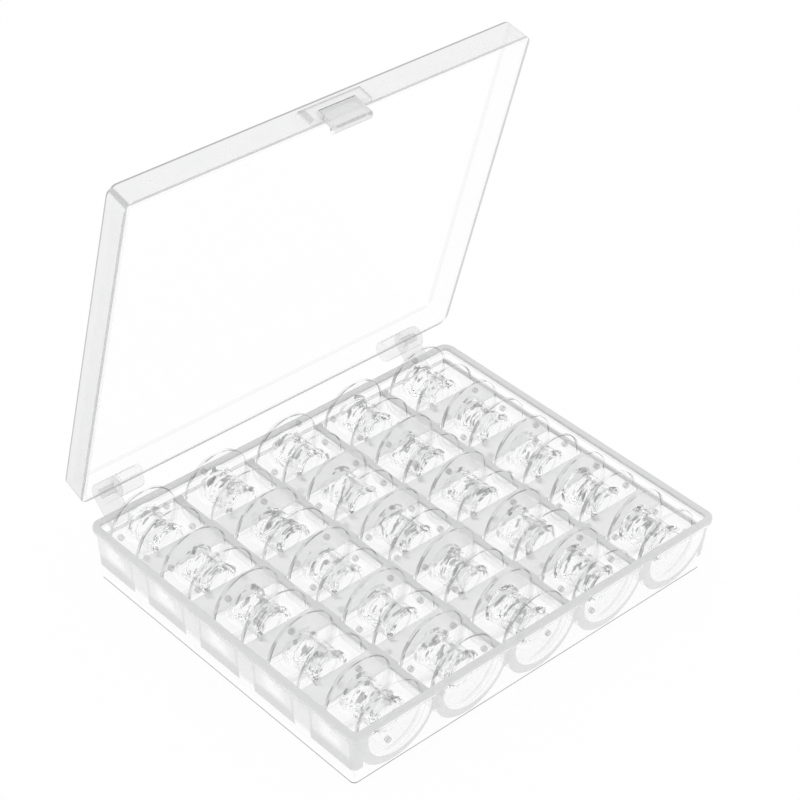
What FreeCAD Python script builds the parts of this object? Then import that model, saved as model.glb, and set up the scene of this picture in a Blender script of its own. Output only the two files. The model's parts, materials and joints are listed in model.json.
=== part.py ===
import FreeCAD, Part
import math
import os
from FreeCAD import Rotation, Vector

# A clear hinged box for sewing bobbins: a moulded tray with round-bottomed pockets, a hinged
# lid with a snap latch, and one bobbin standing on edge in each pocket.
# Lengths are millimetres and angles are degrees. X runs along the hinge, -Y is the latch side.

# Driving dimensions of one bobbin
bobbin_diameter = 20.3
bobbin_width = 11.6
flange_thickness = 1.1
barrel_diameter = 9.2
bore_diameter = 6.1
bore_recess_diameter = 7.8
bore_recess_depth = 2.4
barrel_bevel = 0.4
thread_hole_diameter = 1.5
thread_hole_circle = 14.6
flange_bevel = 0.25
bobbin_turn_step = 67.0

# Driving dimensions of the tray
columns = 5
rows = 5
pocket_clearance = 0.35
pocket_end_clearance = 0.4
pocket_corner_bevel = 0.6
pocket_wall = 1.1
column_divider = 2.4
row_band = 7.8
side_margin = 1.7
end_margin = 1.2
deck_thickness = 1.2
deck_over_axle = 0.9
web_under_axle = 3.6
web_width = 1.6
side_web_under_axle = 8.0
rim_over_deck = 3.3
pocket_ground_gap = 0.7
tray_wall = 1.3
tray_draft = 1.3
tray_corner = 3.2
least_corner = 0.7
lip_width = 0.7
lip_height = 1.2
lip_slope = 1.6
edge_rounding = 0.4
mouth_bevel = 0.4
least_land = 0.2

# Driving dimensions of the lid
lid_wall = 1.7
lid_panel = 1.2
lid_draft = 0.4
lid_overhang = 1.0
lid_seat_gap = 0.2
lid_headroom = 0.35
lid_edge_rounding = 0.8
lid_open_angle = 76.0

# Driving dimensions of the hinge
hinge_setback = 4.6
hinge_over_rim = 2.6
knuckle_diameter = 5.8
knuckle_rounding = 0.7
ear_outer_end = 54.2
ear_length = 5.8
lid_knuckle_length = 6.8
knuckle_gap = 0.2
peg_diameter = 2.4
peg_clearance = 0.05
peg_end_gap = 0.3
ear_end_wall = 1.0
ear_top_drop = 1.4
ear_root_drop = 7.0
ear_neck_angle = 35.0
ear_root_angle = 60.0
arm_thickness = 2.6

# Driving dimensions of the latch
latch_pad_width = 19.0
latch_pad_thickness = 1.7
latch_pad_top_gap = 2.5
latch_pad_rounding = 1.4
tongue_width = 11.0
tongue_thickness = 1.8
tongue_gap = 0.1
tongue_root_over_rim = 1.5
tongue_reach = 4.5
hook_grip = 0.45
hook_nose_height = 0.4
hook_top_angle = 18.0
hook_top_gap = 0.5
tongue_end_rounding = 0.7

# Sizes worked out from the driving dimensions
bobbin_radius = bobbin_diameter / 2
pocket_radius = bobbin_radius + pocket_clearance
pocket_length = bobbin_width + 2 * pocket_end_clearance
column_pitch = 2 * pocket_radius + column_divider
row_pitch = pocket_length + row_band
rim_width = lip_width + tray_wall
tray_half_x = ((columns - 1) * column_pitch) / 2 + pocket_radius + side_margin + rim_width
tray_half_y = ((rows - 1) * row_pitch) / 2 + pocket_length / 2 + end_margin + rim_width
axle_z = pocket_ground_gap + pocket_wall + pocket_radius
deck_z = axle_z + deck_over_axle
rim_z = deck_z + rim_over_deck

lid_half_x = tray_half_x + lid_overhang
lid_half_y = tray_half_y + lid_overhang
lid_rim_z = rim_z + lid_seat_gap
lid_ceiling_z = axle_z + bobbin_radius + lid_headroom
lid_top_z = lid_ceiling_z + lid_panel

hinge_y = tray_half_y + hinge_setback
hinge_z = rim_z + hinge_over_rim
knuckle_radius = knuckle_diameter / 2
ear_inner_end = ear_outer_end - ear_length
lid_knuckle_outer_end = ear_inner_end - knuckle_gap
lid_knuckle_inner_end = lid_knuckle_outer_end - lid_knuckle_length

tongue_radius = tongue_thickness / 2
tongue_y = -lid_half_y - tongue_gap - tongue_radius
tongue_z = lid_rim_z + tongue_root_over_rim
tongue_end_z = rim_z - tongue_reach

# The origin lies under the middle of the open box, between its front lip and the lid's back edge.
open_turn = math.radians(lid_open_angle)
lid_back_rise = (lid_top_z - hinge_z) * math.sin(open_turn)
lid_back_fall = (hinge_y - lid_half_y + lid_draft) * math.cos(open_turn)
origin_shift = Vector(0, -(hinge_setback + lid_back_rise - lid_back_fall) / 2, 0)
hinge_point = Vector(0, hinge_y, hinge_z)
along_x = Vector(1, 0, 0)
along_y = Vector(0, 1, 0)

# Two coordinates nearer than this are one
same_place = 1e-4


def save(shape, name):
    """Moves a finished piece to the part's origin and writes it."""
    if len(shape.Solids) != 1 or not shape.isValid():
        raise ValueError(name + " is not one valid solid")
    piece = shape.Solids[0].copy()
    piece.translate(origin_shift)
    piece.exportStep("parts/" + name + ".step")


def join(first, *others):
    """Fuses pieces into one and merges their shared faces."""
    return first.fuse(list(others)).removeSplitter()


def rounded_outline(half_x, half_y, radius, z):
    """A rectangle with round corners, as a closed wire at one height."""
    x = half_x - radius
    y = half_y - radius
    bend = radius * math.sqrt(0.5)
    edges = []
    corners = [(1, 1), (-1, 1), (-1, -1), (1, -1)]
    for i, (sx, sy) in enumerate(corners):
        side_end = Vector(sx * half_x, sy * y, z)
        front_end = Vector(sx * x, sy * half_y, z)
        middle = Vector(sx * (x + bend), sy * (y + bend), z)
        first, last = (side_end, front_end) if sx * sy > 0 else (front_end, side_end)
        edges.append(Part.Arc(first, middle, last).toShape())
        next_x, next_y = corners[(i + 1) % 4]
        if sy == next_y:
            following = Vector(next_x * x, next_y * half_y, z)
        else:
            following = Vector(next_x * half_x, next_y * y, z)
        edges.append(Part.LineSegment(last, following).toShape())
    return Part.Wire(edges)


def drafted_block(half_x, half_y, radius, z_low, z_high, inset_low, inset_high):
    """A block with round corners whose sides are inset by different amounts at its two ends."""
    wires = []
    for z, inset in ((z_low, inset_low), (z_high, inset_high)):
        corner = max(radius - inset, least_corner)
        wires.append(rounded_outline(half_x - inset, half_y - inset, corner, z))
    return Part.makeLoft(wires, True, True)


def prism(points, x_low, x_high):
    """A solid with a straight-sided outline of (y, z) points, drawn out along X."""
    corners = [Vector(x_low, y, z) for y, z in points]
    face = Part.Face(Part.makePolygon(corners + corners[:1]))
    return face.extrude(Vector(x_high - x_low, 0, 0))


def cylinder_x(radius, x_low, x_high, y, z):
    """A round bar along X."""
    return Part.makeCylinder(radius, x_high - x_low, Vector(x_low, y, z), along_x)


def mirrored(shape):
    """The copy of a shape on the other side of the box's middle."""
    return shape.mirror(Vector(0, 0, 0), along_x)


def edges_at_height(shape, z):
    """The edges that lie flat at one height."""
    found = []
    for edge in shape.Edges:
        box = edge.BoundBox
        if abs(box.ZMin - z) < same_place and abs(box.ZMax - z) < same_place:
            found.append(edge)
    return found


def edges_at_x(shape, x):
    """The edges that lie in one plane across the hinge."""
    found = []
    for edge in shape.Edges:
        box = edge.BoundBox
        if abs(box.XMin - x) < same_place and abs(box.XMax - x) < same_place:
            found.append(edge)
    return found


def pocket_places():
    """The row, column and centre of each pocket, from the latch side and the left."""
    places = []
    for row in range(rows):
        for column in range(columns):
            x = (column - (columns - 1) / 2) * column_pitch
            y = (row - (rows - 1) / 2) * row_pitch
            places.append((row + 1, column + 1, Vector(x, y, axle_z)))
    return places


def is_on_mouth(point):
    """Whether a point at deck height lies on the outline of a pocket's mouth."""
    for _, _, place in pocket_places():
        off_side = abs(abs(point.x - place.x) - pocket_radius)
        off_end = abs(abs(point.y - place.y) - pocket_length / 2)
        in_width = abs(point.x - place.x) < pocket_radius + same_place
        in_length = abs(point.y - place.y) < pocket_length / 2 + same_place
        if in_width and in_length and min(off_side, off_end) < pocket_corner_bevel:
            return True
    return False


def make_u_block(radius, length, corner_bevel, top):
    """A block about a pocket's axle: round below, straight sides up to a height, bevelled ends."""
    left = Vector(-radius, -length / 2, 0)
    right = Vector(radius, -length / 2, 0)
    bottom = Vector(0, -length / 2, -radius)
    top_left = left + Vector(0, 0, top)
    top_right = right + Vector(0, 0, top)
    outline = Part.Wire(
        [
            Part.Arc(left, bottom, right).toShape(),
            Part.LineSegment(right, top_right).toShape(),
            Part.LineSegment(top_right, top_left).toShape(),
            Part.LineSegment(top_left, left).toShape(),
        ]
    )
    block = Part.Face(outline).extrude(Vector(0, length, 0))
    end_edges = []
    for edge in block.Edges:
        box = edge.BoundBox
        across = box.YMax - box.YMin < same_place
        below_top = box.ZMin < top - same_place
        if across and below_top:
            end_edges.append(edge)
    return block.makeChamfer(corner_bevel, end_edges)


def make_pocket_shells(inside_wall):
    """The outsides of all pockets, with webs between neighbours and out to the side walls."""
    top = deck_z - deck_thickness / 2 - axle_z
    shell_length = pocket_length + 2 * pocket_wall
    shell_bevel = pocket_corner_bevel + pocket_wall
    shell = make_u_block(pocket_radius + pocket_wall, shell_length, shell_bevel, top)
    blocks = [shell.translated(place) for _, _, place in pocket_places()]
    web_length = pocket_length - 2 * pocket_corner_bevel
    web_height = web_under_axle + top
    side_web_height = side_web_under_axle + top
    last_axle_x = (columns - 1) / 2 * column_pitch
    side_web_width = tray_half_x - last_axle_x
    for row in range(rows):
        row_y = (row - (rows - 1) / 2) * row_pitch
        for gap in range(1, columns):
            x = (gap - columns / 2) * column_pitch - web_width / 2
            corner = Vector(x, row_y - web_length / 2, axle_z - web_under_axle)
            blocks.append(Part.makeBox(web_width, web_length, web_height, corner))
        for x in (-tray_half_x, last_axle_x):
            corner = Vector(x, row_y - shell_length / 2, axle_z - side_web_under_axle)
            blocks.append(Part.makeBox(side_web_width, shell_length, side_web_height, corner))
    return [block.common(inside_wall) for block in blocks]


def make_ear():
    """The left hinge ear: a knuckle on a web from the back wall, with a blind hole for a peg."""
    x_low, x_high = -ear_outer_end, -ear_inner_end
    wall_y = tray_half_y - lip_width - tray_wall / 2
    neck = math.radians(ear_neck_angle)
    root = math.radians(ear_root_angle)
    web = [
        (wall_y, rim_z - ear_top_drop),
        (tray_half_y, rim_z - ear_top_drop),
        (hinge_y - knuckle_radius * math.cos(neck), hinge_z - knuckle_radius * math.sin(neck)),
        (hinge_y, hinge_z),
        (hinge_y + knuckle_radius * math.cos(root), hinge_z - knuckle_radius * math.sin(root)),
        (wall_y, rim_z - ear_root_drop),
    ]
    knuckle = cylinder_x(knuckle_radius, x_low, x_high, hinge_y, hinge_z)
    ear = join(knuckle, prism(web, x_low, x_high))
    outside_edges = [e for e in edges_at_x(ear, x_low) if e.BoundBox.YMax > tray_half_y]
    ear = ear.makeFillet(knuckle_rounding, outside_edges)
    hole_radius = peg_diameter / 2 + peg_clearance
    hole = cylinder_x(hole_radius, x_low + ear_end_wall, x_high + knuckle_gap, hinge_y, hinge_z)
    return ear.cut(hole)


def make_tray():
    """The tray: drafted walls with an outward lip, a deck, hanging pockets and two hinge ears."""
    wall_outside = drafted_block(
        tray_half_x, tray_half_y, tray_corner, 0, rim_z, lip_width + tray_draft, lip_width
    )
    lip_low_z = rim_z - lip_height
    lip = drafted_block(tray_half_x, tray_half_y, tray_corner, lip_low_z, rim_z, 0, 0)
    slope_inset = lip_width + tray_draft * (lip_height + lip_slope) / rim_z
    lip_under = drafted_block(
        tray_half_x, tray_half_y, tray_corner, lip_low_z - lip_slope, lip_low_z, slope_inset, 0
    )
    draft_at_deck = tray_draft * (rim_z - deck_z) / rim_z
    draft_under_deck = tray_draft * (rim_z - deck_z + deck_thickness) / rim_z
    above_deck = drafted_block(
        tray_half_x, tray_half_y, tray_corner, deck_z, rim_z, rim_width + draft_at_deck, rim_width
    )
    below_deck = drafted_block(
        tray_half_x,
        tray_half_y,
        tray_corner,
        0,
        deck_z - deck_thickness,
        rim_width + tray_draft,
        rim_width + draft_under_deck,
    )
    shell = join(wall_outside, lip, lip_under).cut([above_deck, below_deck])
    tray = join(shell, *make_pocket_shells(wall_outside))
    pocket = make_u_block(pocket_radius, pocket_length, pocket_corner_bevel, rim_z - axle_z)
    pockets = [pocket.translated(place) for _, _, place in pocket_places()]
    tray = tray.cut(pockets).removeSplitter()
    least_margin = min(end_margin, side_margin, column_divider / 2, row_band / 2)
    mouth_cut = min(mouth_bevel, least_margin - draft_at_deck - least_land)
    mouths = [e for e in edges_at_height(tray, deck_z) if is_on_mouth(e.BoundBox.Center)]
    tray = tray.makeChamfer(mouth_cut, mouths)
    tray = tray.makeFillet(edge_rounding, edges_at_height(tray, rim_z))
    ear = make_ear()
    return join(tray, ear, mirrored(ear))


def make_lid_knuckle():
    """The left lid knuckle: a bar on an arm from the back skirt, with a peg for the ear's hole."""
    x_low, x_high = -lid_knuckle_outer_end, -lid_knuckle_inner_end
    knuckle = cylinder_x(knuckle_radius, x_low, x_high, hinge_y, hinge_z)
    arm_low = hinge_z - arm_thickness / 2
    arm_depth = hinge_y - lid_half_y + lid_wall / 2
    arm_corner = Vector(x_low, lid_half_y - lid_wall / 2, arm_low)
    arm = Part.makeBox(x_high - x_low, arm_depth, arm_thickness, arm_corner)
    peg_tip = -ear_outer_end + ear_end_wall + peg_end_gap
    peg = cylinder_x(peg_diameter / 2, peg_tip, x_high, hinge_y, hinge_z)
    bar = join(knuckle, arm)
    inner_edges = [e for e in edges_at_x(bar, x_high) if e.BoundBox.YMax > hinge_y]
    return join(bar.makeFillet(knuckle_rounding, inner_edges), peg)


def make_latch_pad():
    """The raised pad on the front skirt, with a gap and a round seat for the tongue's root."""
    outside_y = -lid_half_y - tongue_gap - latch_pad_thickness
    back_y = -lid_half_y + lid_wall / 2
    top_z = lid_top_z - latch_pad_top_gap
    corner = Vector(-latch_pad_width / 2, outside_y, lid_rim_z)
    pad = Part.makeBox(latch_pad_width, back_y - outside_y, top_z - lid_rim_z, corner)
    rounded = []
    for edge in pad.Edges:
        box = edge.BoundBox
        on_front = box.YMax < outside_y + same_place
        above_rim = box.ZMax > lid_rim_z + same_place
        if on_front and above_rim:
            rounded.append(edge)
    return pad.makeFillet(latch_pad_rounding, rounded)


def make_tongue_space():
    """What is cut out of the pad for the tongue: its root's round seat and the way below it."""
    half = tongue_width / 2 + tongue_gap
    seat = cylinder_x(tongue_radius + tongue_gap, -half, half, tongue_y, tongue_z)
    front_y = tongue_y - 2 * tongue_thickness
    corner = Vector(-half, front_y, lid_rim_z)
    below = Part.makeBox(2 * half, -lid_half_y - front_y, tongue_z - lid_rim_z, corner)
    return join(seat, below)


def make_lid():
    """The lid in its closed place: a panel with four skirts, two knuckles and the latch pad."""
    outside = drafted_block(
        lid_half_x, lid_half_y, tray_corner, lid_rim_z, lid_top_z, 0, lid_draft
    )
    outside = outside.makeFillet(lid_edge_rounding, edges_at_height(outside, lid_top_z))
    ceiling_share = (lid_ceiling_z - lid_rim_z) / (lid_top_z - lid_rim_z)
    inside = drafted_block(
        lid_half_x,
        lid_half_y,
        tray_corner,
        lid_rim_z,
        lid_ceiling_z,
        lid_wall,
        lid_wall + lid_draft * ceiling_share,
    )
    pad = make_latch_pad().cut(make_tongue_space())
    knuckle = make_lid_knuckle()
    body = join(outside, pad, knuckle, mirrored(knuckle))
    return body.cut(inside).removeSplitter()


def make_tongue():
    """The latch tongue in its closed place: a round root, a plate and a hook under the lip."""
    half = tongue_width / 2
    root = cylinder_x(tongue_radius, -half, half, tongue_y, tongue_z)
    outside_y = tongue_y - tongue_radius
    inside_y = tongue_y + tongue_radius
    nose_y = hook_grip - tray_half_y
    nose_z = rim_z - lip_height - lip_slope * hook_grip / lip_width - hook_top_gap
    hook_rise = (nose_y - inside_y) * math.tan(math.radians(hook_top_angle))
    plate = [
        (outside_y, tongue_z),
        (inside_y, tongue_z),
        (inside_y, nose_z + hook_rise),
        (nose_y, nose_z),
        (nose_y, nose_z - hook_nose_height),
        (inside_y, tongue_end_z),
        (outside_y, tongue_end_z),
    ]
    blade = prism(plate, -half, half)
    end_edges = []
    for edge in blade.Edges:
        box = edge.BoundBox
        if box.ZMax < tongue_end_z + same_place and box.YMax < outside_y + same_place:
            end_edges.append(edge)
    return join(root, blade.makeFillet(tongue_end_rounding, end_edges))


def opened(shape):
    """A lid piece swung from its closed place to the angle at which the box stands open."""
    turned = shape.copy()
    turned.rotate(hinge_point, along_x, -lid_open_angle)
    return turned


def make_bobbin():
    """One bobbin about the middle of its axle, which runs along Y: half an outline, spun round."""
    half = bobbin_width / 2
    inner_face = half - flange_thickness
    recess_floor = half - bore_recess_depth
    bore = bore_diameter / 2
    recess = bore_recess_diameter / 2
    barrel = barrel_diameter / 2
    one_end = [
        (bore, recess_floor),
        (recess, recess_floor),
        (recess, half),
        (bobbin_radius - flange_bevel, half),
        (bobbin_radius, half - flange_bevel),
        (bobbin_radius, inner_face + flange_bevel),
        (bobbin_radius - flange_bevel, inner_face),
        (barrel + barrel_bevel, inner_face),
        (barrel, inner_face - barrel_bevel),
    ]
    other_end = [(radius, -y) for radius, y in reversed(one_end)]
    corners = [Vector(radius, y, 0) for radius, y in one_end + other_end]
    section = Part.Face(Part.makePolygon(corners + corners[:1]))
    bobbin = section.revolve(Vector(0, 0, 0), along_y, 360)
    holes = []
    for side in (-1, 1):
        place = Vector(0, -half, side * thread_hole_circle / 2)
        holes.append(Part.makeCylinder(thread_hole_diameter / 2, bobbin_width, place, along_y))
    return bobbin.cut(holes)


def main():
    """Builds every piece and writes one file for each."""
    os.makedirs("parts", exist_ok=True)
    save(make_tray(), "base_tray")
    save(opened(make_lid()), "lid")
    save(opened(make_tongue()), "latch_tongue")
    bobbin = make_bobbin()
    for index, (row, column, place) in enumerate(pocket_places()):
        piece = bobbin.copy()
        piece.Placement = FreeCAD.Placement(place, Rotation(along_y, index * bobbin_turn_step))
        save(piece, "bobbin_r" + str(row) + "c" + str(column))


main()
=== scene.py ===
import json
import logging
import math
from abc import ABC, abstractmethod
from dataclasses import dataclass
from enum import Enum
from typing import Any, Optional, Sequence, Union

import bpy
import numpy as np
from mathutils import Matrix, Vector


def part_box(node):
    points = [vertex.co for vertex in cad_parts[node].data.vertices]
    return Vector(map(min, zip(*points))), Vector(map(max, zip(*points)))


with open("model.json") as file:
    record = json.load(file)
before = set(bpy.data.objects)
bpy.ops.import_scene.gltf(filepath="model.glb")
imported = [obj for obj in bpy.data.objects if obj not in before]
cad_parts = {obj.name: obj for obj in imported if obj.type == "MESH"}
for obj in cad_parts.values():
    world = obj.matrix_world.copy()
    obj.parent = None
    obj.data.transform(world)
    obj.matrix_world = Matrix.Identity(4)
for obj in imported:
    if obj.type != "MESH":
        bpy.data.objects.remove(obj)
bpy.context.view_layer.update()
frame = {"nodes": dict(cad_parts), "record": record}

MM = 0.001
LOG = logging.getLogger("bobbin_box")

Triple = tuple[float, float, float]
Colour = Triple
Step = tuple[float, float]

WHITE = (1.0, 1.0, 1.0, 1.0)

# Where a mask on a part of the normal starts and where it is whole.
SQUARE_ON: Step = (0.8, 0.95)
FACED: Step = (0.3, 0.6)


class Operation(Enum):
    """The arithmetic that shader values take part in."""

    ADD = "ADD"
    SUBTRACT = "SUBTRACT"
    MULTIPLY = "MULTIPLY"
    DIVIDE = "DIVIDE"
    WRAP = "WRAP"
    ABSOLUTE = "ABSOLUTE"
    ROOT = "SQRT"
    LARGER = "MAXIMUM"
    SMALLER = "MINIMUM"
    FOLD = "PINGPONG"


class Value:
    """A number that changes over a surface, wrapped so that arithmetic on it adds nodes."""

    def __init__(self, tree: "ShaderTree", socket: bpy.types.NodeSocket) -> None:
        """Keeps the tree that new nodes go into and the socket that gives the number."""
        self.tree = tree
        self.socket = socket

    def _with(self, operation: Operation, *operands: Any) -> "Value":
        """Adds one arithmetic node.

        Args:
            operation: What the node works out.
            operands: What it works on, in order.

        Returns:
            The node's result.
        """
        inputs = dict(enumerate(operands))
        node = self.tree.node("ShaderNodeMath", {"operation": operation.value}, inputs)
        return Value(self.tree, node.outputs[0])

    def __add__(self, other: Any) -> "Value":
        """self + other."""
        return self._with(Operation.ADD, self, other)

    __radd__ = __add__

    def __sub__(self, other: Any) -> "Value":
        """self - other."""
        return self._with(Operation.SUBTRACT, self, other)

    def __rsub__(self, other: Any) -> "Value":
        """other - self."""
        return self._with(Operation.SUBTRACT, other, self)

    def __mul__(self, other: Any) -> "Value":
        """self * other."""
        return self._with(Operation.MULTIPLY, self, other)

    __rmul__ = __mul__

    def __truediv__(self, other: Any) -> "Value":
        """self / other."""
        return self._with(Operation.DIVIDE, self, other)

    def __abs__(self) -> "Value":
        """The size of self without its sign."""
        return self._with(Operation.ABSOLUTE, self)

    def root(self) -> "Value":
        """The square root of self."""
        return self._with(Operation.ROOT, self)

    def larger(self, other: Any) -> "Value":
        """The larger of self and other."""
        return self._with(Operation.LARGER, self, other)

    def smaller(self, other: Any) -> "Value":
        """The smaller of self and other."""
        return self._with(Operation.SMALLER, self, other)

    def folded(self, half: float) -> "Value":
        """The distance from the nearest of a row of places that are twice half apart."""
        return self._with(Operation.FOLD, self, half)

    def wrapped(self, half: float) -> "Value":
        """The signed distance from the nearest of a row of places that are twice half apart."""
        return self._with(Operation.WRAP, self, half, -half)

    def rise(self, low: float, high: float) -> "Value":
        """A smooth step.

        Args:
            low: Where the step starts.
            high: Where it is whole.

        Returns:
            Zero below low, one above high and a smooth change between.
        """
        node = self.tree.node(
            "ShaderNodeMapRange",
            {"interpolation_type": "SMOOTHSTEP"},
            {"Value": self, "From Min": low, "From Max": high},
        )
        return Value(self.tree, node.outputs["Result"])

    def rise_at(self, base: float, step: Step) -> "Value":
        """A smooth step whose two ends are measured from base."""
        return self.rise(base + step[0], base + step[1])

    def between(self, low: float, high: float, soft: float) -> "Value":
        """One from low to high and zero outside, with smooth steps of width soft."""
        return self.rise(low - soft, low) * (1 - self.rise(high, high + soft))


@dataclass(frozen=True)
class Seat:
    """How a piece's own coordinates lie in the box: turned about X at a point (mm, degrees)."""

    turn: float = 0.0
    point: Triple = (0.0, 0.0, 0.0)

    def mapping(self) -> tuple[Vector, Triple]:
        """Works out the change from the box's coordinates to the piece's own.

        Returns:
            The shift in mm and the angles in radians.
        """
        angle = math.radians(self.turn)
        centre = Vector(self.point)
        shift = centre - Matrix.Rotation(angle, 3, "X") @ centre
        return shift, (angle, 0.0, 0.0)


class ShaderTree:
    """The nodes of one material or world, emptied and built anew."""

    FACING_BLEND: float = 0.5

    def __init__(self, owner: Union[bpy.types.Material, bpy.types.World]) -> None:
        """Switches nodes on and removes the ones that are there at first.

        Args:
            owner: What the nodes belong to.
        """
        owner.use_nodes = True
        self.tree = owner.node_tree
        self.tree.nodes.clear()

    def node(
        self,
        kind: str,
        settings: Optional[dict[str, Any]] = None,
        inputs: Optional[dict[Union[int, str], Any]] = None,
    ) -> bpy.types.Node:
        """Adds a node, sets it up and fills or links its sockets.

        Args:
            kind: The node's type.
            settings: Attributes that are set first. A ramp's "stops" lists (place, colour).
            inputs: Socket name or index to a number, a colour, a socket or a Value.

        Returns:
            The new node.
        """
        made = self.tree.nodes.new(kind)
        for name, value in (settings or {}).items():
            if name == "stops":
                self._set_stops(made, value)
            else:
                setattr(made, name, value)
        for key, value in (inputs or {}).items():
            if isinstance(value, Value):
                self.tree.links.new(value.socket, made.inputs[key])
            elif isinstance(value, bpy.types.NodeSocket):
                self.tree.links.new(value, made.inputs[key])
            else:
                made.inputs[key].default_value = value
        return made

    @staticmethod
    def _set_stops(ramp: bpy.types.Node, stops: Sequence[tuple[float, tuple[float, ...]]]) -> None:
        """Gives a ramp its stops.

        Args:
            ramp: The ramp node.
            stops: Place along the ramp and colour of each stop.
        """
        elements = ramp.color_ramp.elements
        while len(elements) < len(stops):
            elements.new(1.0)
        for element, (place, colour) in zip(elements, stops):
            element.position = place
            element.color = colour

    def value(self, node: bpy.types.Node, output: Union[int, str] = 0) -> Value:
        """One of a node's outputs as a number for arithmetic."""
        return Value(self, node.outputs[output])

    def _split(self, vector: bpy.types.NodeSocket) -> tuple[Value, Value, Value]:
        """A vector's three numbers."""
        parts = self.node("ShaderNodeSeparateXYZ", None, {0: vector})
        return self.value(parts, 0), self.value(parts, 1), self.value(parts, 2)

    def place(self, seat: Seat) -> bpy.types.NodeSocket:
        """Finds the point on the surface.

        Args:
            seat: How the piece's own coordinates lie.

        Returns:
            The point in the piece's own coordinates, in mm.
        """
        shift, angles = seat.mapping()
        mapped = self.node(
            "ShaderNodeMapping",
            {"vector_type": "POINT"},
            {
                "Vector": self.node("ShaderNodeTexCoord").outputs["Object"],
                "Location": shift,
                "Rotation": angles,
                "Scale": (1 / MM, 1 / MM, 1 / MM),
            },
        )
        return mapped.outputs[0]

    def where(self, seat: Seat) -> tuple[Value, Value, Value]:
        """The point's three coordinates in mm."""
        return self._split(self.place(seat))

    def facing(self, seat: Seat) -> tuple[Value, Value, Value]:
        """Finds where the surface faces.

        Args:
            seat: How the piece's own coordinates lie.

        Returns:
            The three parts of the normal on the side that is looked at.
        """
        mapped = self.node(
            "ShaderNodeMapping",
            {"vector_type": "VECTOR"},
            {
                "Vector": self.node("ShaderNodeTexCoord").outputs["Normal"],
                "Rotation": seat.mapping()[1],
            },
        )
        return self._split(mapped.outputs[0])

    def graze(self) -> Value:
        """Zero where the surface is looked at squarely and one where it is seen edge on."""
        weight = self.node("ShaderNodeLayerWeight", None, {"Blend": self.FACING_BLEND})
        return self.value(weight, "Facing")

    def blend(self, share: Any, first: Any, second: Any) -> bpy.types.NodeSocket:
        """A colour between two others.

        Args:
            share: How much of the second colour there is.
            first: A colour or a socket.
            second: A colour or a socket.

        Returns:
            The mixed colour.
        """
        inputs = {"Factor": share}
        for name, end in (("A", first), ("B", second)):
            inputs[name] = end if isinstance(end, bpy.types.NodeSocket) else (*end, 1.0)
        return self.node("ShaderNodeMix", {"data_type": "RGBA"}, inputs).outputs["Result"]

    def cloud(self, place: bpy.types.NodeSocket, size: float, detail: float = 1.0) -> Value:
        """Soft noise with patches of a size in mm."""
        noise = self.node(
            "ShaderNodeTexNoise", None, {"Vector": place, "Scale": 1 / size, "Detail": detail}
        )
        return self.value(noise)


def box_middle(node: str) -> np.ndarray:
    """The middle of a node's box, in mm."""
    low, high = np.array(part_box(node))
    return (low + high) / 2 / MM


@dataclass(frozen=True)
class Grid:
    """Where the pockets are, in mm."""

    column_pitch: float
    row_pitch: float
    last_column: float
    middle_y: float
    axle_z: float
    bobbin_radius: float
    half_x: float
    half_y: float
    pocket_clearance: float = 0.35
    pocket_wall: float = 1.1
    pocket_half_length: float = 6.2
    deck_over_axle: float = 0.9
    rim_over_deck: float = 3.3
    web_under_axle: float = 3.6
    side_web_under_axle: float = 8.0
    lip_width: float = 0.7
    wall_draft: float = 1.3

    @classmethod
    def from_frame(cls) -> "Grid":
        """Reads the pitches, the axle height and the tray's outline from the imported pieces.

        Returns:
            The grid that the bobbins and the tray give.
        """
        first = box_middle("bobbin_r1c1")
        middle = box_middle("bobbin_r3c3")
        low, high = np.array(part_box("bobbin_r1c1")) / MM
        tray_low, tray_high = np.array(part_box("base_tray")) / MM
        return cls(
            column_pitch=float(box_middle("bobbin_r1c2")[0] - first[0]),
            row_pitch=float(box_middle("bobbin_r2c1")[1] - first[1]),
            last_column=float(box_middle("bobbin_r1c5")[0]),
            middle_y=float(middle[1]),
            axle_z=float(middle[2]),
            bobbin_radius=float(high[2] - low[2]) / 2,
            half_x=float(tray_high[0]),
            half_y=float(middle[1] - tray_low[1]),
        )

    @property
    def pocket_radius(self) -> float:
        """The radius of a pocket's round bottom."""
        return self.bobbin_radius + self.pocket_clearance

    @property
    def deck_z(self) -> float:
        """The height of the deck's top."""
        return self.axle_z + self.deck_over_axle

    @property
    def rim_z(self) -> float:
        """The height of the tray's rim."""
        return self.deck_z + self.rim_over_deck

    @property
    def side_web_z(self) -> float:
        """The height of the lower edge of the webs at the side walls."""
        return self.axle_z - self.side_web_under_axle


@dataclass(frozen=True)
class Look:
    """What a finish shows at a point.

    Attributes:
        opacity: How much of the surface is milky.
        dark: How far the milk turns to shadow.
        pale: How far the milk turns to white, as a painted sheen on the bobbins' flanges and as the
            lid pad's paler tone.
        edge_on: How far the surface turns milky where it is seen edge on.
        bend: Where the piece bends light as a lens does.
    """

    opacity: Value
    dark: Union[Value, float] = 0.0
    pale: Union[Value, float] = 0.0
    edge_on: Union[Value, float] = 1.0
    bend: Optional[Value] = None


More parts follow.
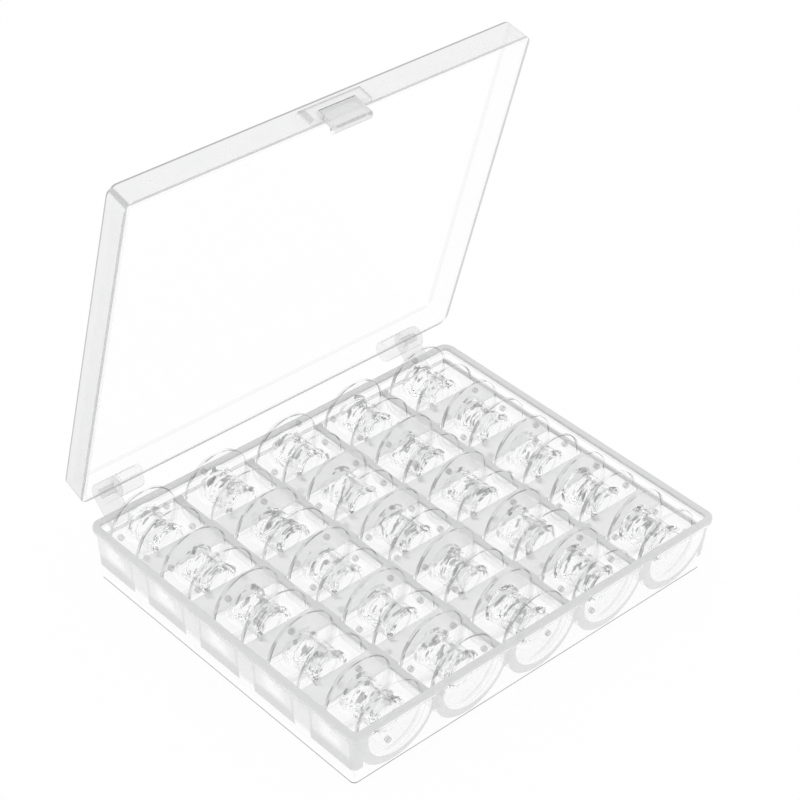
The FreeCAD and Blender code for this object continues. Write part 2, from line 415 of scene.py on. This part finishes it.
@dataclass(frozen=True)
class ClearMoulding(ABC):
    """Clear moulded plastic.

    Broad faces are almost invisible. Edges and thick sections hold light and look milky, and so
    does a face that is seen edge on. Flow marks from the mould ripple the surface, and a fine haze
    changes the roughness and the milkiness from place to place.
    """

    name: str
    grid: Grid
    seat: Seat = Seat()
    milk_colour: Colour = (0.7, 0.703, 0.706)
    # dark_colour is the colour of painted shade, and pale_colour the white of a painted sheen and
    # of the lid pad's paler tone.
    dark_colour: Colour = (0.06, 0.062, 0.065)
    pale_colour: Colour = (0.97, 0.97, 0.97)
    film: float = 0.0012
    graze_milk: float = 0.85
    graze_from: float = 0.45
    ior: float = 1.57
    lens_ior: float = 1.17
    lens_colour: Colour = (0.97, 0.972, 0.975)
    lens_haze: float = 0.02
    gloss: float = 0.12
    gloss_from: float = 0.35
    gloss_roughness: float = 0.06
    polish: float = 0.12
    haze: float = 0.2
    haze_size: float = 7.0
    haze_detail: float = 4.0
    haze_milk_least: float = 0.85
    haze_milk_swing: float = 0.3
    ripple_size: float = 9.0
    ripple_height: float = 0.00003
    ripple_strength: float = 0.3

    @abstractmethod
    def look(self, tree: ShaderTree) -> Look:
        """Works out what the finish shows.

        Args:
            tree: The material's nodes.

        Returns:
            The milkiness, the shadow and the rest over the surface.
        """

    def build(self) -> bpy.types.Material:
        """Makes the material.

        Returns:
            A mostly see-through surface with milky edges, gloss and, where asked for, bent light.
        """
        material = bpy.data.materials.new(self.name)
        tree = ShaderTree(material)
        place = tree.place(self.seat)
        haze = tree.cloud(place, self.haze_size, self.haze_detail)
        ripple = tree.cloud(place, self.ripple_size)
        bump = tree.node(
            "ShaderNodeBump",
            None,
            {"Strength": self.ripple_strength, "Distance": self.ripple_height, "Height": ripple},
        )
        normal = bump.outputs["Normal"]
        look = self.look(tree)
        graze = tree.graze()
        milk = look.opacity + graze.rise(self.graze_from, 1.0) * look.edge_on * self.graze_milk
        uneven = haze * self.haze_milk_swing + self.haze_milk_least
        # Painted shade turns the milk dark, and a painted sheen or the pad's paler tone turns it
        # white.
        shade = tree.blend(look.dark, self.milk_colour, self.dark_colour)
        surface = tree.node(
            "ShaderNodeBsdfPrincipled",
            None,
            {
                "Base Color": tree.blend(look.pale, shade, self.pale_colour),
                "Roughness": haze * self.haze + self.polish,
                "IOR": self.ior,
                "Alpha": (milk * uneven + self.film).smaller(1.0),
                "Normal": normal,
            },
        )
        shine = tree.node(
            "ShaderNodeBsdfAnisotropic",
            None,
            {"Color": WHITE, "Roughness": self.gloss_roughness, "Normal": normal},
        )
        mirror = graze.rise(self.gloss_from, 1.0) * self.gloss
        shown = tree.node(
            "ShaderNodeMixShader", None, {0: mirror, 1: surface.outputs[0], 2: shine.outputs[0]}
        )
        if look.bend is not None:
            lens = self._lens(tree, haze, normal)
            shown = tree.node(
                "ShaderNodeMixShader", None, {0: look.bend, 1: shown.outputs[0], 2: lens.outputs[0]}
            )
        tree.node("ShaderNodeOutputMaterial", None, {"Surface": shown.outputs[0]})
        return material

    def _lens(
        self, tree: ShaderTree, haze: Value, normal: bpy.types.NodeSocket
    ) -> bpy.types.Node:
        """A shader that bends light, for thick round sections.

        Args:
            tree: The material's nodes.
            haze: The fine haze.
            normal: The surface's direction with the flow marks.

        Returns:
            The shader's node.
        """
        return tree.node(
            "ShaderNodeBsdfPrincipled",
            None,
            {
                "Base Color": (*self.lens_colour, 1.0),
                "Roughness": haze * self.lens_haze,
                "IOR": self.lens_ior,
                "Transmission Weight": 1.0,
                "Normal": normal,
            },
        )


@dataclass(frozen=True)
class TrayPlastic(ClearMoulding):
    """The tray's plastic: a grey rim, deck and pocket ends, clear walls, a painted shade line along
    the foot, and painted shade and a painted glint on the side webs.

    Fields that end in milk, dark, shade, glint or edge_on are strengths. A Step is where a mask
    starts and where it is whole, in mm from the edge that it belongs to, or in parts of the normal.
    """

    rim_milk: float = 0.95
    deck_milk: float = 0.5
    divider_milk: float = 0.64
    wall_milk: float = 0.1
    ring_milk: float = 0.72
    ring_inside: float = 0.75
    ring_outside: float = 0.95
    ring_shift: tuple[float, float] = (0.8, 0.35)
    window_milk: float = 0.07
    notch_milk: float = 0.8
    bevel_milk: float = 0.12
    foot_milk: float = 0.95
    foot_height: float = 0.3
    # How dark the painted shade line along the foot is.
    foot_painted_shade: float = 0.66
    round_corner: float = 0.8
    ear_milk: float = 0.17
    panel_milk: float = 0.5
    # Painted shade towards the webs' lower edges and ends, and a painted glint in their middles.
    panel_low_shade: float = 0.92
    panel_end_shade: float = 0.8
    panel_painted_glint: float = 0.4
    band_milk: float = 0.5
    ear_edge_on: float = 0.6
    shell_edge_on: float = 0.15
    side_margin: Step = (-3.0, -2.6)
    end_margin: Step = (-2.9, -2.5)
    rim_step: Step = (-0.9, -0.6)
    deck_step: Step = (-1.0, -0.6)
    level_step: Step = (0.3, 0.8)
    divider_step: Step = (-0.4, 0.1)
    upper_wall_step: Step = (-3.5, -0.5)
    below_deck_step: Step = (-0.5, 0.0)
    bevel_normal: Triple = (0.4, 0.85, 0.1)
    outer_step: Step = (0.0, 0.1)
    foot_step: Step = (0.0, 0.15)
    ear_step: Step = (0.2, 0.4)
    edge_on_step: Step = (-2.0, -1.0)
    seam_margin: float = 0.1
    circle_step: Step = (-0.1, 0.15)
    notch_step: Step = (0.0, 0.6)
    web_edge: Step = (0.0, 0.3)
    web_step: Step = (-0.1, 0.2)
    panel_step: Step = (-0.15, 0.15)
    panel_low_step: Step = (2.5, 6.0)
    panel_end_step: Step = (-1.6, -0.6)
    band_step: Step = (0.5, 3.0)
    glint_along: Step = (1.5, 5.5)
    glint_over_web: float = 5.5
    glint_under_deck: float = 1.0
    glint_soft: float = 2.0

    def look(self, tree: ShaderTree) -> Look:
        """Puts milk on the rim, the deck, the pocket ends, the side webs and the foot's edge, which
        it also darkens as a painted shade line.

        Args:
            tree: The material's nodes.

        Returns:
            What the tray shows.
        """
        grid = self.grid
        x, y, z = tree.where(self.seat)
        nx, ny, nz = tree.facing(self.seat)
        along = y - grid.middle_y
        off_column = x.folded(grid.column_pitch / 2).larger(abs(x) - grid.last_column)
        off_row = along.folded(grid.row_pitch / 2)
        inside = (1 - abs(x).rise_at(grid.half_x, self.side_margin)) * (
            1 - abs(along).rise_at(grid.half_y, self.end_margin)
        )
        rim = z.rise_at(grid.rim_z, self.rim_step)
        upward = nz.rise(*self.level_step) * z.rise_at(grid.deck_z, self.deck_step)
        divider = off_column.rise_at(grid.pocket_radius, self.divider_step) * inside
        upper_wall = z.rise_at(grid.deck_z, self.upper_wall_step) * inside * (1 - upward)
        below_deck = 1 - z.rise_at(grid.deck_z, self.below_deck_step)
        bevel = abs(ny).between(*self.bevel_normal) * below_deck * inside
        draft = (1 - z / grid.rim_z) * grid.wall_draft + grid.lip_width
        outside = (abs(x) - grid.half_x).larger(abs(along) - grid.half_y) + draft
        faced = (nx * x / grid.half_x + ny * along / grid.half_y).rise(*FACED)
        outward = outside.rise_at(-self.round_corner, self.outer_step) * faced
        wall = outward * (1 - rim)
        # The foot is a painted shade line: dark milk along the outer walls' bottom edge.
        foot = (1 - z.rise_at(self.foot_height, self.foot_step)) * outward
        ear = along.rise_at(grid.half_y, self.ear_step)
        opacity = (
            rim * self.rim_milk
            + upward * (1 - rim) * (divider * self.divider_milk + self.deck_milk)
            + upper_wall * divider * self.wall_milk
            + bevel * self.bevel_milk
            + self._end_wall(x, off_column, z) * wall * abs(ny).rise(*SQUARE_ON)
            + self._side_wall(off_row, z) * wall * abs(nx).rise(*SQUARE_ON)
            + self._corner(nx, ny, z) * wall
            + foot * self.foot_milk
        ) * (1 - ear) + ear * self.ear_milk
        top = z.rise_at(grid.deck_z, self.edge_on_step)
        shell = top * (1 - self.shell_edge_on) + self.shell_edge_on
        edge_on = (inside * shell).larger(ear * self.ear_edge_on)
        return Look(opacity, foot * self.foot_painted_shade, edge_on=edge_on)

    def _end_wall(self, x: Value, off_column: Value, z: Value) -> Value:
        """The round pocket ends behind the front and back walls, with the webs between them.

        A ring lies between two circles of which the inner one is a little to the right and higher,
        because the pocket's end is seen through the wall's thickness.

        Args:
            x: Place along the wall.
            off_column: Distance from the nearest pocket's middle, along the wall.
            z: Height.

        Returns:
            How milky the wall is.
        """
        grid = self.grid
        half = grid.column_pitch / 2
        limit = grid.last_column + half - self.seam_margin
        side = x.smaller(limit).larger(-limit).wrapped(half)
        outer = grid.pocket_radius + self.ring_outside
        inner = grid.pocket_radius - self.ring_inside
        window = self._circle(side, z, self.ring_shift, inner)
        ring = self._circle(side, z, (0.0, 0.0), outer) * (1 - window)
        notch_z = grid.axle_z - grid.web_under_axle
        notch = off_column.rise_at(inner, self.web_edge) * z.rise_at(notch_z, self.notch_step)
        beyond = (abs(x) - grid.last_column).rise_at(inner, self.web_edge)
        corner = beyond * z.rise_at(grid.side_web_z, self.web_edge)
        web = notch.larger(corner) * (1 - window)
        return (ring * self.ring_milk).larger(web * self.notch_milk) + window * self.window_milk

    def _circle(self, side: Value, z: Value, shift: tuple[float, float], radius: float) -> Value:
        """One inside a pocket's round outline, which goes straight up above the axle.

        Args:
            side: Signed distance from the pocket's middle, along the wall.
            z: Height.
            shift: How far the outline is moved to the right and up.
            radius: The outline's radius.

        Returns:
            The outline's inside, with a soft edge.
        """
        across = side - shift[0]
        below = (z - self.grid.axle_z - shift[1]).smaller(0.0)
        return 1 - (across * across + below * below).root().rise_at(radius, self.circle_step)

    def _corner(self, nx: Value, ny: Value, z: Value) -> Value:
        """The end of the side webs in the tray's round corners.

        Args:
            nx: The normal's part along the hinge.
            ny: The normal's part across the hinge.
            z: Height.

        Returns:
            How milky the corner is.
        """
        turned = (1 - abs(nx).rise(*SQUARE_ON)) * (1 - abs(ny).rise(*SQUARE_ON))
        return turned * z.rise_at(self.grid.side_web_z, self.web_edge) * self.notch_milk

    def _side_wall(self, off_row: Value, z: Value) -> Value:
        """The webs that join the outer pockets to the side walls, with pale bands between them.
        Each web is greyer towards its lower edge and its ends as painted shade, and less milky in
        its upper middle as a painted glint.

        Args:
            off_row: Distance from the nearest pocket's middle, along the wall.
            z: Height.

        Returns:
            How milky the wall is.
        """
        grid = self.grid
        web_z = grid.side_web_z
        end = grid.pocket_half_length + grid.pocket_wall
        above = z.rise_at(web_z, self.web_step)
        panel = 1 - off_row.rise_at(end, self.panel_step)
        low = 1 - z.rise_at(web_z, self.panel_low_step)
        # A painted glint: the web's upper middle is made less milky.
        painted_glint = (1 - off_row.rise(*self.glint_along)) * z.between(
            web_z + self.glint_over_web, grid.deck_z - self.glint_under_deck, self.glint_soft
        )
        side = off_row.rise_at(end, self.panel_end_step) * panel
        band = (1 - panel) * z.rise_at(web_z, self.band_step) * self.band_milk
        # Painted shade: the web is milkier towards its lower edge and its ends.
        shade = (low * self.panel_low_shade).larger(side * self.panel_end_shade)
        return above * panel * (shade.larger(self.panel_milk) - painted_glint * self.panel_painted_glint) + band


@dataclass(frozen=True)
class LidPlastic(ClearMoulding):
    """The lid's plastic: a clear panel, milky skirts and pad, and painted shade lines along its
    edges.

    Strengths and Steps are as in the tray's plastic, and the sizes are the shut lid's, in mm.
    """

    gloss: float = 0.04
    film: float = 0.0004
    overhang: float = 1.0
    wall: float = 1.7
    rim_over_tray: float = 0.2
    height: float = 7.3
    skirt_milk: float = 0.34
    back_skirt_milk: float = 0.02
    back_edge_share: float = 0.12
    rim_milk: float = 0.62
    round_edge_milk: float = 0.7
    # How dark the painted shade lines along rim, edge and corners are.
    line_painted_shade: float = 0.38
    rim_line: float = 0.8
    rim_clear: float = 0.12
    edge_line: float = 0.85
    corner_milk: float = 0.4
    pad_milk: float = 0.75
    pad_pale: float = 0.42
    # How dark the painted shade on the pad's rounded edges is.
    pad_edge_painted_shade: float = 0.2
    pad_edge_on: float = 0.5
    hinge_milk: float = 0.12
    level_step: Step = (0.3, 0.6)
    flat_step: Step = (0.5, 0.9)
    diagonal_step: Step = (0.2, 0.45)
    oblique_normal: Triple = (0.25, 0.9, 0.1)
    beyond_step: Step = (0.1, 0.25)
    outer_step: Step = (0.1, 0.6)
    rim_step: Step = (0.1, 0.25)
    rim_line_step: Step = (-0.15, 0.0)
    edge_step: Step = (-0.1, 0.0)

    def look(self, tree: ShaderTree) -> Look:
        """Puts milk on the skirts' outsides and the pad, painted shade lines along rim and edge,
        and painted shade on the pad's rounded edges.

        Args:
            tree: The material's nodes.

        Returns:
            What the lid and its tongue show.
        """
        grid = self.grid
        x, y, z = tree.where(self.seat)
        nx, ny, nz = tree.facing(self.seat)
        along = y - grid.middle_y
        half_x = grid.half_x + self.overhang
        half_y = grid.half_y + self.overhang
        rim_z = grid.rim_z + self.rim_over_tray
        flat = abs(nz)
        upright = 1 - flat.rise(*self.level_step)
        faced = (nx * x / half_x + ny * along / half_y).rise(*FACED)
        pad = (-1 * along).rise_at(half_y, self.beyond_step)
        hinge = along.rise_at(half_y, self.beyond_step)
        plain = 1 - pad.larger(hinge)
        out = (abs(x) - half_x).larger(abs(along) - half_y)
        outer = out.rise_at(-self.wall, self.outer_step)
        line = out.rise_at(-self.rim_line, self.rim_line_step)
        line = line * (1 - self.rim_clear) + self.rim_clear
        rim = (1 - z.rise_at(rim_z, self.rim_step)) * flat.rise(*self.flat_step) * line
        high = z.rise_at(rim_z + self.height - self.edge_line, self.edge_step)
        round_edge = high * out.rise_at(-self.edge_line, self.edge_step)
        diagonal = 1 - abs(abs(nx) - abs(ny)).rise(*self.diagonal_step)
        corner = upright * outer * faced * diagonal
        oblique = abs(nx).between(*self.oblique_normal).larger(flat.between(*self.oblique_normal))
        opacity = (
            upright * outer * (faced * self.skirt_milk + self.back_skirt_milk)
            + corner * self.corner_milk
            + rim * self.rim_milk
            + round_edge * faced.larger(self.back_edge_share) * self.round_edge_milk
        ) * plain
        opacity = opacity + pad * self.pad_milk + hinge * self.hinge_milk
        # Painted shade: the rim, the round top edge and the skirt corners are drawn as dark lines.
        lines = rim.larger(round_edge).larger(corner) * plain
        # The pad's rounded edges are darkened as painted shade; its flat faces take its paler tone.
        dark = lines * self.line_painted_shade + pad * oblique * self.pad_edge_painted_shade
        pale = pad * (1 - oblique) * self.pad_pale
        edge_on = pad.larger(hinge) * self.pad_edge_on + plain * faced
        return Look(opacity, dark, pale, edge_on)


@dataclass(frozen=True)
class BobbinPlastic(ClearMoulding):
    """The bobbins' plastic: clear flanges with painted shade on their edges and a painted sheen on
    their faces, on a barrel that bends light and carries painted dark dashes.

    Strengths and Steps are as in the tray's plastic. For dashes and broken lines a Step is a level
    of the noise that draws them, and edge_step is how squarely an edge is looked at.
    """

    edge_milk: float = 0.6
    edge_patch: float = 3.5
    stroke_milk: float = 0.6
    stroke_side: float = 7.6
    hole_milk: float = 0.34
    bend: float = 0.9
    rim_milk: float = 0.15
    # How much painted white sheen the flanges' faces get.
    flange_painted_sheen: float = 0.06
    barrel_milk: float = 0.05
    dash_size: float = 1.9
    dash_shape: Triple = (0.55, 1.7, 0.55)
    dash_milk: float = 0.56
    # How dark the painted shade dashes on the barrel are.
    dash_painted_shade: float = 0.7
    # How dark the painted shade on bevels, thread holes and rims is.
    mark_painted_shade: float = 0.8
    # How much paler the painted shade stroke is than the other rim marks.
    stroke_light: float = 0.25
    below_share: float = 0.05
    broken_share: float = 0.2
    flange_edge_on: float = 0.3
    barrel_radius: float = 4.6
    bevel_width: float = 0.25
    flange_step: Step = (1.4, 1.6)
    barrel_step: Step = (0.5, 0.8)
    rim_step: Step = (-0.3, -0.2)
    across_step: Step = (0.3, 0.5)
    bevel_normal: Triple = (0.45, 0.9, 0.05)
    edge_step: Step = (0.55, 0.8)
    face_step: Step = (0.93, 0.97)
    above_step: Step = (-0.5, 1.5)
    dash_step: Step = (0.61, 0.64)
    dash_height: Step = (-1.0, 1.0)
    broken_step: Step = (0.4, 0.6)
    faced_step: Step = (0.3, 0.5)
    stroke_step: Step = (0.0, 0.6)
    stroke_height: Step = (-2.5, -1.0)

    def look(self, tree: ShaderTree) -> Look:
        """Paints shade on rims, bevels and thread holes, a white sheen on the flanges and dark
        dashes on the barrel, and makes the barrel a lens.

        Args:
            tree: The material's nodes.

        Returns:
            What the bobbins show.
        """
        grid = self.grid
        place = tree.place(self.seat)
        x, _, z = tree.where(self.seat)
        nx, ny, _ = tree.facing(self.seat)
        side = x.wrapped(grid.column_pitch / 2)
        height = z - grid.axle_z
        radius = (side * side + height * height).root()
        flange = radius.rise_at(self.barrel_radius, self.flange_step)
        barrel = 1 - radius.rise_at(self.barrel_radius, self.barrel_step)
        rim = radius.rise_at(grid.bobbin_radius - self.bevel_width, self.rim_step)
        across = 1 - abs(ny).rise(*self.across_step)
        bevel = abs(ny).between(*self.bevel_normal) * rim
        hole = across * flange * (1 - rim)
        edge = across * rim * (1 - tree.graze()).rise(*self.edge_step)
        # The flanges' broad faces get a painted white sheen.
        face = abs(ny).rise(*self.face_step) * flange * (1 - rim)
        # The bevels' painted shade is strongest above the axle and faint below it.
        above = height.rise(*self.above_step) * (1 - self.below_share) + self.below_share
        broken = tree.cloud(place, self.edge_patch).rise(*self.broken_step)
        broken = broken * (1 - self.broken_share) + self.broken_share
        dash = self._dashes(tree, place) * barrel * height.rise(*self.dash_height)
        faced = (nx * side / grid.bobbin_radius).rise(*self.faced_step)
        flank = abs(side).rise_at(self.stroke_side, self.stroke_step)
        # A painted shade stroke on the outward-facing flanks of each flange's rim, above its lowest
        # part, a paler grey than the other rim marks.
        stroke = across * rim * faced * flank * height.rise(*self.stroke_height)
        opacity = (
            bevel * above * broken * self.edge_milk
            + hole * self.hole_milk
            + edge * self.rim_milk
            + dash * self.dash_milk
            + stroke * self.stroke_milk
            + face * self.flange_painted_sheen
            + barrel * self.barrel_milk
        )
        # Painted shade: bevels, thread holes and rims are darkened, and so are the dashes on the
        # barrel.
        dark = (bevel + hole + edge) * self.mark_painted_shade + dash * self.dash_painted_shade
        dark = dark - stroke * self.stroke_light
        return Look(opacity, dark, face, self.flange_edge_on, barrel * (1 - dash) * self.bend)

    def _dashes(self, tree: ShaderTree, place: bpy.types.NodeSocket) -> Value:
        """Short painted dark lines that run round the barrel, for the shade that its refraction
        shows: noise that is squeezed along the barrel's axis.

        Args:
            tree: The material's nodes.
            place: The point on the surface.

        Returns:
            One on a mark and zero elsewhere.
        """
        squeezed = tree.node(
            "ShaderNodeVectorMath", {"operation": "MULTIPLY"}, {0: place, 1: self.dash_shape}
        )
        return tree.cloud(squeezed.outputs[0], self.dash_size).rise(*self.dash_step)


@dataclass
class Part(ABC):
    """A sub-assembly of the box: its nodes and the finish that they get."""

    grid: Grid

    @property
    @abstractmethod
    def nodes(self) -> list[str]:
        """The names of its nodes."""

    @abstractmethod
    def finish(self) -> ClearMoulding:
        """What it is made of."""

    def dress(self) -> None:
        """Gives every node its finish."""
        material = self.finish().build()
        for node in self.nodes:
            for slot in frame["nodes"][node].material_slots:
                slot.material = material
            LOG.info("dressed %s with %s", node, material.name)


@dataclass
class Tray(Part):
    """The moulded tray with its pockets and hinge ears."""

    @property
    def nodes(self) -> list[str]:
        """The tray is one moulding."""
        return ["base_tray"]

    def finish(self) -> ClearMoulding:
        """Clear plastic with a grey rim and deck."""
        return TrayPlastic("clear_tray_plastic", self.grid)


@dataclass
class Lid(Part):
    """The lid and the latch tongue that hangs from it, both drawn in the open place."""

    hinge_joint: str = "lid_hinge"

    @property
    def nodes(self) -> list[str]:
        """The lid and its tongue."""
        return ["lid", "latch_tongue"]

    def seat(self) -> Seat:
        """Reads how the open lid lies from its hinge.

        Returns:
            A turn about the hinge by the angle to the shut place.
        """
        joints = {joint["name"]: joint for joint in frame["record"]["behaviour"]["joints"]}
        hinge = joints[self.hinge_joint]
        x, y, z = (value / MM for value in hinge["pos_m"])
        return Seat(-hinge["range_deg"][0], (x, y, z))

    def finish(self) -> ClearMoulding:
        """Clear plastic with grey edges, in the lid's own coordinates."""
        return LidPlastic("clear_lid_plastic", self.grid, self.seat())


@dataclass
class Bobbins(Part):
    """The bobbins, one in each pocket."""

    rows: int = 5
    columns: int = 5

    @property
    def nodes(self) -> list[str]:
        """A node for each bobbin, by row and column."""
        places = [(row, column) for row in range(self.rows) for column in range(self.columns)]
        return [f"bobbin_r{row + 1}c{column + 1}" for row, column in places]

    def finish(self) -> ClearMoulding:
        """Clear plastic with dark edges."""
        return BobbinPlastic("clear_bobbin_plastic", self.grid)


@dataclass(frozen=True)
class Studio:
    """A white sweep under soft light, and the camera."""

    camera_azimuth: float = -43.71
    camera_elevation: float = 36.6
    camera_roll: float = 2.16
    camera_place: Triple = (-318.6, -334.0, 394.3)
    focal_pixels: float = 2381.5
    picture_pixels: float = 800.0
    sensor_width: float = 36.0
    near_clip: float = 0.01
    floor_half: float = 4.0
    floor_gap: float = 0.0002
    floor_colour: Colour = (0.94, 0.94, 0.94)
    floor_glow: float = 0.95
    sky_strength: float = 1.0
    sky_white_to: float = 0.25
    sky_top: Colour = (0.45, 0.45, 0.46)
    light_bounces: int = 24
    clear_layers: int = 96

    def build(self) -> None:
        """Sets up the floor, the light, the camera and the view."""
        self._floor()
        self._world()
        self._camera()
        scene = bpy.context.scene
        scene.view_settings.view_transform = "Standard"
        scene.cycles.max_bounces = self.light_bounces
        scene.cycles.transmission_bounces = self.light_bounces
        scene.cycles.transparent_max_bounces = self.clear_layers

    def _seen_directly(self, tree: ShaderTree) -> Value:
        """Tells rays that show a surface from rays that light one.

        Args:
            tree: The nodes that ask.

        Returns:
            One for rays from the camera, from gloss and through glass, and zero for the others.
        """
        path = tree.node("ShaderNodeLightPath")
        camera = tree.value(path, "Is Camera Ray")
        glossy = tree.value(path, "Is Glossy Ray")
        through = tree.value(path, "Is Transmission Ray")
        return camera.larger(glossy).larger(through)

    def _floor(self) -> None:
        """A wide plain floor that looks white and still keeps a soft shadow."""
        square = np.array([(-1, -1), (1, -1), (1, 1), (-1, 1)]) * self.floor_half
        corners = np.column_stack((square, np.full(len(square), -self.floor_gap)))
        mesh = bpy.data.meshes.new("floor")
        mesh.from_pydata(corners.tolist(), [], [range(len(square))])
        floor = bpy.data.objects.new("floor", mesh)
        bpy.context.scene.collection.objects.link(floor)
        material = bpy.data.materials.new("white_sweep")
        tree = ShaderTree(material)
        paper = tree.node("ShaderNodeBsdfDiffuse", None, {"Color": (*self.floor_colour, 1.0)})
        glow = tree.node("ShaderNodeEmission", None, {"Color": WHITE, "Strength": 1.0})
        share = self._seen_directly(tree) * self.floor_glow
        mixed = tree.node(
            "ShaderNodeMixShader", None, {0: share, 1: paper.outputs[0], 2: glow.outputs[0]}
        )
        tree.node("ShaderNodeOutputMaterial", None, {"Surface": mixed.outputs[0]})
        mesh.materials.append(material)

    def _world(self) -> None:
        """Even white light from all round, seen in gloss as a sky that is grey straight above."""
        world = bpy.data.worlds.new("soft_studio")
        bpy.context.scene.world = world
        tree = ShaderTree(world)
        place = tree.node("ShaderNodeTexCoord").outputs["Generated"]
        height = tree.node("ShaderNodeSeparateXYZ", None, {0: place}).outputs["Z"]
        stops = [(0.0, WHITE), (self.sky_white_to, WHITE), (1.0, (*self.sky_top, 1.0))]
        ramp = tree.node("ShaderNodeValToRGB", {"stops": stops}, {0: height})
        seen = tree.node("ShaderNodeBackground", None, {"Color": ramp.outputs[0], "Strength": 1.0})
        light = tree.node(
            "ShaderNodeBackground", None, {"Color": WHITE, "Strength": self.sky_strength}
        )
        mixed = tree.node(
            "ShaderNodeMixShader",
            None,
            {0: self._seen_directly(tree), 1: light.outputs[0], 2: seen.outputs[0]},
        )
        tree.node("ShaderNodeOutputWorld", None, {"Surface": mixed.outputs[0]})

    def _camera(self) -> None:
        """The camera in the photograph's place, level apart from a small roll."""
        turn = math.radians(self.camera_azimuth)
        rise = math.radians(self.camera_elevation)
        back = Vector(
            (math.sin(turn) * math.cos(rise), -math.cos(turn) * math.cos(rise), math.sin(rise))
        )
        level = Vector((math.cos(turn), math.sin(turn), 0.0))
        rotation = Matrix((level, back.cross(level), back)).transposed().to_4x4()
        roll = Matrix.Rotation(math.radians(self.camera_roll), 4, "Z")
        place = Matrix.Translation(Vector(self.camera_place) * MM)
        data = bpy.data.cameras.new("photo_camera")
        data.sensor_width = self.sensor_width
        data.lens = self.focal_pixels / self.picture_pixels * self.sensor_width
        data.clip_start = self.near_clip
        camera = bpy.data.objects.new("photo_camera", data)
        camera.matrix_world = place @ rotation @ roll
        bpy.context.scene.collection.objects.link(camera)
        bpy.context.scene.camera = camera


def main() -> None:
    """Builds the scene."""
    logging.basicConfig(level=logging.INFO, format="%(name)s: %(message)s")
    grid = Grid.from_frame()
    for part in (Tray(grid), Lid(grid), Bobbins(grid)):
        part.dress()
    Studio().build()


if __name__ == "__main__":
    main()
